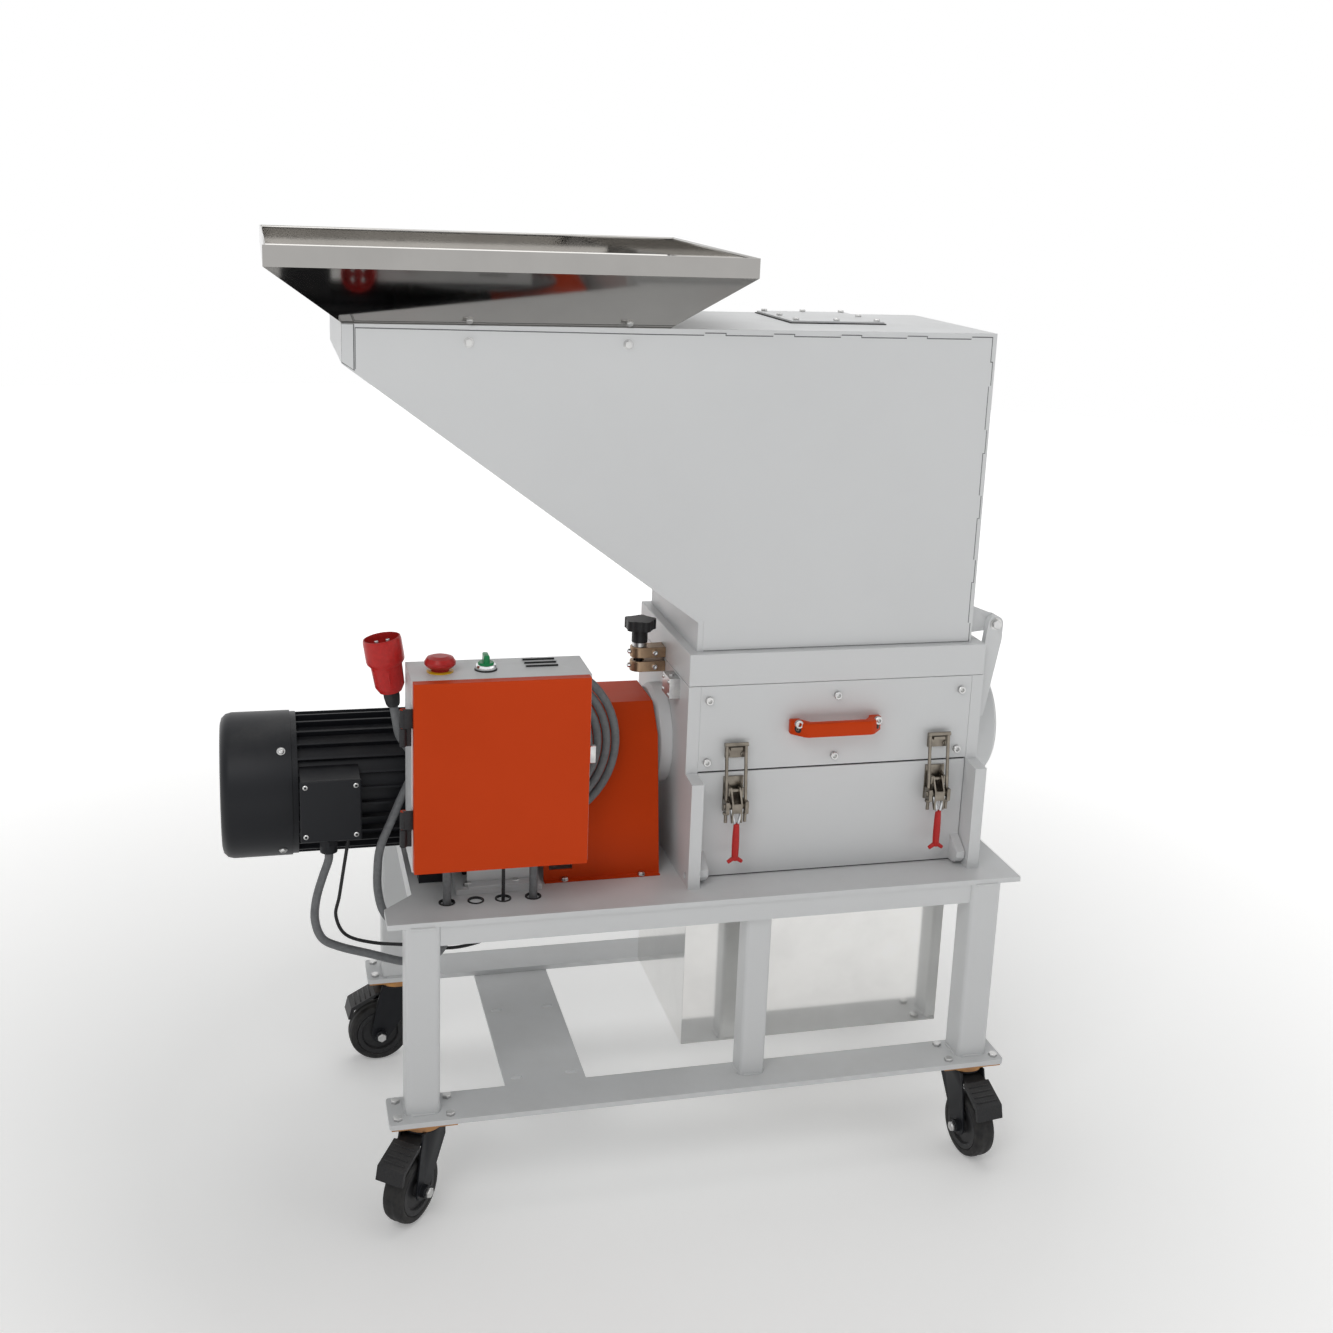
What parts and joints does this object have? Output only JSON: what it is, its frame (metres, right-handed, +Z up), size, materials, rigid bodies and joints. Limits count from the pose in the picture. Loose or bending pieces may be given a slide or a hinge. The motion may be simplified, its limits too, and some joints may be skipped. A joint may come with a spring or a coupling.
{
  "type": "plastic granulator",
  "caption": "Plastic granulator: bladed rotor in a chamber with a screen, tilting hopper with a flared tray, geared motor, switch cabinet, bin and a castered stand.",
  "frame": {"origin": "on the floor under the middle of the machine", "axes": "+Z up, +X from the motor to the chamber, +Y from the operator's side to the back"},
  "size_m": [1.1628, 0.5946, 1.354],
  "materials": {
    "white_paint": "satin white enamel",
    "orange_paint": "satin orange enamel",
    "dark_paint": "satin charcoal enamel on castings",
    "stainless": "bright polished sheet",
    "steel": "ground steel",
    "zinc": "zinc plated pressings",
    "yellow_zinc": "yellow passivated pressing",
    "black_rubber": "black solid rubber",
    "black_plastic": "fine grained black moulding",
    "red_plastic": "red moulding",
    "green_plastic": "green moulding",
    "grey_cable": "grey sheath",
    "bronze": "bronze coloured machined block"
  },
  "bodies": {
    "frame": {"tabletop": "white_paint", "stand_frame": "white_paint", "base_frame": "white_paint", "chamber_sides": "white_paint", "front_panel": "white_paint", "rear_panel": "white_paint", "bearing_housings": "white_paint", "motor_platform": "white_paint", "cabinet_box": "white_paint", "cabinet_bracket": "white_paint", "panel_handle": "orange_paint", "guard": "orange_paint", "motor_body": "dark_paint", "motor_cowl": "dark_paint", "gearbox": "dark_paint", "knife_beams": "steel", "screen": "steel", "bin_runners": "steel", "latch_keepers": "zinc", "safety_latch": "zinc", "caster_plates": "yellow_zinc", "cabinet_fittings": "black_plastic", "drop_cables": "black_plastic", "plug": "red_plastic", "supply_cord": "grey_cable", "cord_coil": "grey_cable", "plug_cord": "grey_cable", "motor_cable": "grey_cable", "interlock_base": "bronze"},
    "lid": {"lid_frame": "white_paint", "hopper": "white_paint", "inlet_tray": "stainless", "window_plate": "white_paint", "interlock_cap": "bronze"},
    "lock_collar": {"lock_collar": "zinc"},
    "star_knob": {"star_knob": "black_plastic"},
    "door": {"front_door": "white_paint", "latch_bases": "zinc"},
    "lever_left": {"latch_lever_left": "red_plastic"},
    "lever_right": {"latch_lever_right": "red_plastic"},
    "bail_left": {"latch_bail_left": "zinc"},
    "bail_right": {"latch_bail_right": "zinc"},
    "rotor": {"rotor": "steel"},
    "motor_rotor": {"motor_fan": "black_plastic"},
    "cabinet_door": {"cabinet_door": "orange_paint"},
    "stop_button": {"stop_button": "red_plastic"},
    "selector": {"selector": "green_plastic"},
    "bin": {"bin": "stainless"},
    "caster_fl": {"caster_fork_fl": "zinc"},
    "wheel_fl": {"caster_wheel_fl": "black_rubber"},
    "pedal_fl": {"caster_pedal_fl": "black_plastic"},
    "caster_fr": {"caster_fork_fr": "zinc"},
    "wheel_fr": {"caster_wheel_fr": "black_rubber"},
    "pedal_fr": {"caster_pedal_fr": "black_plastic"},
    "caster_rl": {"caster_fork_rl": "zinc"},
    "wheel_rl": {"caster_wheel_rl": "black_rubber"},
    "pedal_rl": {"caster_pedal_rl": "black_plastic"},
    "caster_rr": {"caster_fork_rr": "zinc"},
    "wheel_rr": {"caster_wheel_rr": "black_rubber"},
    "pedal_rr": {"caster_pedal_rr": "black_plastic"}
  },
  "joints": [
    {"name": "lid_tilt", "type": "hinge", "parent": "frame", "child": "lid", "pos_m": [0.5394, 0, 0.818], "axis": [0, 1, 0], "range_deg": [0, 90]},
    {"name": "lock_slide", "type": "slide", "parent": "lid", "child": "lock_collar", "axis": [0, 0, 1], "range_m": [0, 0.014]},
    {"name": "knob_turn", "type": "hinge", "parent": "lock_collar", "child": "star_knob", "pos_m": [0.0266, 0, 0.8], "axis": [0, 0, 1], "range_deg": [0, 1262]},
    {"name": "door_drop", "type": "hinge", "parent": "frame", "child": "door", "pos_m": [0.2919, -0.169, 0.464], "axis": [1, 0, 0], "range_deg": [0, 65]},
    {"name": "latch_left", "type": "hinge", "parent": "door", "child": "lever_left", "pos_m": [0.1366, -0.162, 0.588], "axis": [-1, 0, 0], "range_deg": [0, 150]},
    {"name": "bail_pivot_left", "type": "hinge", "parent": "lever_left", "child": "bail_left", "pos_m": [0.1366, -0.169, 0.567], "axis": [-1, 0, 0], "range_deg": [-150, 0]},
    {"name": "latch_right", "type": "hinge", "parent": "door", "child": "lever_right", "pos_m": [0.4516, -0.162, 0.588], "axis": [-1, 0, 0], "range_deg": [0, 150]},
    {"name": "bail_pivot_right", "type": "hinge", "parent": "lever_right", "child": "bail_right", "pos_m": [0.4516, -0.169, 0.567], "axis": [-1, 0, 0], "range_deg": [-150, 0]},
    {"name": "rotor_spin", "type": "hinge", "parent": "frame", "child": "rotor", "pos_m": [0.2919, 0, 0.626], "axis": [1, 0, 0], "continuous": true},
    {"name": "motor_spin", "type": "hinge", "parent": "frame", "child": "motor_rotor", "pos_m": [-0.5164, 0, 0.577], "axis": [1, 0, 0], "continuous": true},
    {"name": "cabinet_swing", "type": "hinge", "parent": "frame", "child": "cabinet_door", "pos_m": [-0.3434, -0.2165, 0.65], "axis": [0, 0, -1], "range_deg": [0, 110]},
    {"name": "stop_press", "type": "slide", "parent": "frame", "child": "stop_button", "axis": [0, 0, -1], "range_m": [0, 0.004], "stiffness_N_per_m": 1200},
    {"name": "selector_turn", "type": "hinge", "parent": "frame", "child": "selector", "pos_m": [-0.2289, -0.1775, 0.8], "axis": [0, 0, -1], "range_deg": [0, 90]},
    {"name": "bin_slide", "type": "slide", "parent": "frame", "child": "bin", "axis": [0, 1, 0], "range_m": [0, 0.26]},
    {"name": "swivel_fl", "type": "hinge", "parent": "frame", "child": "caster_fl", "pos_m": [-0.3174, -0.212, 0.14], "axis": [0, 0, 1], "continuous": true},
    {"name": "wheel_spin_fl", "type": "hinge", "parent": "caster_fl", "child": "wheel_fl", "pos_m": [-0.33668, -0.23498, 0.05], "axis": [0.766, -0.6428, 0], "continuous": true},
    {"name": "brake_fl", "type": "hinge", "parent": "caster_fl", "child": "pedal_fl", "pos_m": [-0.32126, -0.2166, 0.117], "axis": [0.766, -0.6428, 0], "range_deg": [0, 7]},
    {"name": "swivel_fr", "type": "hinge", "parent": "frame", "child": "caster_fr", "pos_m": [0.5126, -0.212, 0.14], "axis": [0, 0, 1], "continuous": true},
    {"name": "wheel_spin_fr", "type": "hinge", "parent": "caster_fr", "child": "wheel_fr", "pos_m": [0.51677, -0.24171, 0.05], "axis": [0.9903, 0.1392, 0], "continuous": true},
    {"name": "brake_fr", "type": "hinge", "parent": "caster_fr", "child": "pedal_fr", "pos_m": [0.51343, -0.21794, 0.117], "axis": [0.9903, 0.1392, 0], "range_deg": [0, 7]},
    {"name": "swivel_rl", "type": "hinge", "parent": "frame", "child": "caster_rl", "pos_m": [-0.3174, 0.212, 0.14], "axis": [0, 0, 1], "continuous": true},
    {"name": "wheel_spin_rl", "type": "hinge", "parent": "caster_rl", "child": "wheel_rl", "pos_m": [-0.34729, 0.20938, 0.05], "axis": [0.0872, -0.9962, 0], "continuous": true},
    {"name": "brake_rl", "type": "hinge", "parent": "caster_rl", "child": "pedal_rl", "pos_m": [-0.32338, 0.21148, 0.117], "axis": [0.0872, -0.9962, 0], "range_deg": [0, 7]},
    {"name": "swivel_rr", "type": "hinge", "parent": "frame", "child": "caster_rr", "pos_m": [0.5126, 0.212, 0.14], "axis": [0, 0, 1], "continuous": true},
    {"name": "wheel_spin_rr", "type": "hinge", "parent": "caster_rr", "child": "wheel_rr", "pos_m": [0.51677, 0.24171, 0.05], "axis": [-0.9903, 0.1392, 0], "continuous": true},
    {"name": "brake_rr", "type": "hinge", "parent": "caster_rr", "child": "pedal_rr", "pos_m": [0.51343, 0.21794, 0.117], "axis": [-0.9903, 0.1392, 0], "range_deg": [0, 7]}
  ],
  "couplings": [
    {"joint": "knob_turn", "follows": "lock_slide", "rad_per_m": 1570.8},
    {"joint": "bail_pivot_left", "follows": "latch_left", "ratio": -1},
    {"joint": "bail_pivot_right", "follows": "latch_right", "ratio": -1},
    {"joint": "motor_spin", "follows": "rotor_spin", "ratio": -5}
  ]
}
